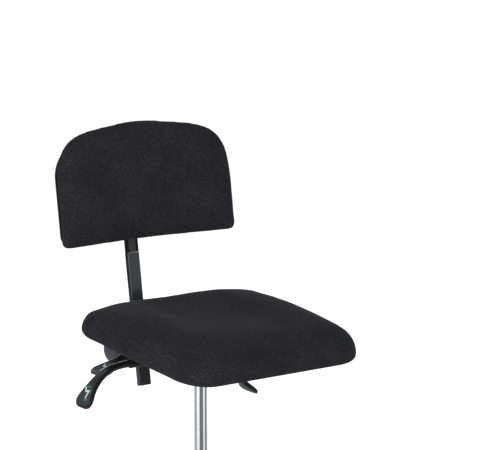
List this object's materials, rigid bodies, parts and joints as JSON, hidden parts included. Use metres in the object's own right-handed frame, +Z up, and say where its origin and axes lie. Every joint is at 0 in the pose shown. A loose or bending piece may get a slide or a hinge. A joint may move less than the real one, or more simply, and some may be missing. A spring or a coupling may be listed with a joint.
{
  "type": "musician chair",
  "caption": "Height-adjustable musician chair: padded seat and backrest on a tilting lever mechanism, clamped back post, gas spring column and star base on glides.",
  "frame": {"origin": "on the floor under the column axis", "axes": "+Z up, -Y the way the sitter faces, +X the sitter's left"},
  "size_m": [0.5692, 0.5903, 0.9489],
  "materials": {
    "black_fabric": "fine woven cover",
    "black_steel": "satin black powder coat",
    "zinc_steel": "zinc plated",
    "chrome_tube": "polished",
    "lever_plastic": "moulded, satin",
    "knob_plastic": "moulded, fine grain",
    "moulded_plastic": "moulded, fine grain",
    "alloy": "polished casting",
    "plywood": "sanded beech plywood"
  },
  "bodies": {
    "base": {"base_star": "alloy", "glide_1": "moulded_plastic", "glide_2": "moulded_plastic", "glide_3": "moulded_plastic", "glide_4": "moulded_plastic", "glide_5": "moulded_plastic", "outer_tube": "black_steel", "guide_bush": "moulded_plastic", "thrust_bearing": "zinc_steel"},
    "rod": {"piston_rod": "chrome_tube", "piston_head": "moulded_plastic", "rod_clip": "zinc_steel"},
    "mechanism": {"gas_cylinder": "chrome_tube", "column_socket": "zinc_steel", "mechanism_housing": "black_steel", "pivot_fork": "black_steel", "front_pivot_bolt": "zinc_steel", "front_pivot_nut": "zinc_steel", "back_pivot_pin": "zinc_steel", "dome_nut_right": "black_steel", "dome_nut_left": "black_steel", "seat_draw_bolt": "zinc_steel", "back_draw_bolt": "zinc_steel", "seat_lever_pin": "zinc_steel", "back_lever_pin": "zinc_steel", "height_lever_saddle": "black_steel", "height_lever_pin": "zinc_steel", "seat_spring": "zinc_steel"},
    "release": {"release_pin": "zinc_steel"},
    "seat": {"seat_carrier": "black_steel", "seat_lamella_1": "zinc_steel", "seat_lamella_2": "zinc_steel", "seat_board": "plywood", "seat_bolts": "zinc_steel", "seat_tee_nuts": "zinc_steel", "seat_pad": "black_fabric"},
    "arm": {"back_arm": "black_steel", "back_lamella_1": "zinc_steel", "back_lamella_2": "zinc_steel", "clamp_bracket": "black_steel", "clamp_bush": "moulded_plastic", "clamp_screw": "zinc_steel"},
    "knob_right": {"clamp_knob_right": "knob_plastic", "knob_cap_right": "knob_plastic"},
    "knob_left": {"clamp_knob_left": "knob_plastic", "knob_cap_left": "knob_plastic"},
    "backrest": {"back_post": "black_steel", "post_end_cap": "moulded_plastic", "bracket_cover": "moulded_plastic", "back_bracket": "black_steel", "back_screws": "zinc_steel", "back_shell": "moulded_plastic", "back_board": "plywood", "back_pad": "black_fabric"},
    "height_lever": {"height_lever_arm": "black_steel", "height_lever_grip": "lever_plastic"},
    "back_lever": {"back_lever_cam": "black_steel", "back_lever_grip": "lever_plastic"},
    "seat_lever": {"seat_lever_cam": "black_steel", "seat_lever_grip": "lever_plastic"}
  },
  "joints": [
    {"name": "swivel", "type": "hinge", "parent": "base", "child": "rod", "pos_m": [0, 0, 0.04], "axis": [0, 0, 1], "continuous": true},
    {"name": "seat_height", "type": "slide", "parent": "rod", "child": "mechanism", "axis": [0, 0, 1], "range_m": [-0.14, 0], "stiffness_N_per_m": 300, "springref_m": 1.2},
    {"name": "release_press", "type": "slide", "parent": "mechanism", "child": "release", "axis": [0, 0, -1], "range_m": [0, 0.0035], "stiffness_N_per_m": 800},
    {"name": "seat_tilt", "type": "hinge", "parent": "mechanism", "child": "seat", "pos_m": [0, -0.035, 0.476], "axis": [1, 0, 0], "range_deg": [-4, 4], "deforming": ["seat_spring"]},
    {"name": "back_tilt", "type": "hinge", "parent": "mechanism", "child": "arm", "pos_m": [0, 0.128, 0.469], "axis": [-1, 0, 0], "range_deg": [-3, 14]},
    {"name": "back_height", "type": "slide", "parent": "arm", "child": "backrest", "axis": [0, 0.1564, 0.9877], "range_m": [-0.05, 0.04]},
    {"name": "knob_right_turn", "type": "hinge", "parent": "arm", "child": "knob_right", "pos_m": [-0.06, 0.20956, 0.46244], "axis": [-1, 0, 0], "range_deg": [0, 360]},
    {"name": "knob_left_turn", "type": "hinge", "parent": "arm", "child": "knob_left", "pos_m": [0.06, 0.20956, 0.46244], "axis": [1, 0, 0], "range_deg": [0, 360]},
    {"name": "height_lever", "type": "hinge", "parent": "mechanism", "child": "height_lever", "pos_m": [-0.037, 0.008, 0.4951], "axis": [0, 1, 0], "range_deg": [0, 5], "stiffness_Nm_per_rad": 2},
    {"name": "back_lever", "type": "hinge", "parent": "mechanism", "child": "back_lever", "pos_m": [-0.058, 0.078, 0.472], "axis": [0, 1, 0], "range_deg": [-18, 0]},
    {"name": "seat_lever", "type": "hinge", "parent": "mechanism", "child": "seat_lever", "pos_m": [0.058, 0.042, 0.486], "axis": [0, 1, 0], "range_deg": [-25, 0]}
  ],
  "couplings": [
    {"joint": "release_press", "follows": "height_lever", "m_per_rad": 0.037}
  ]
}
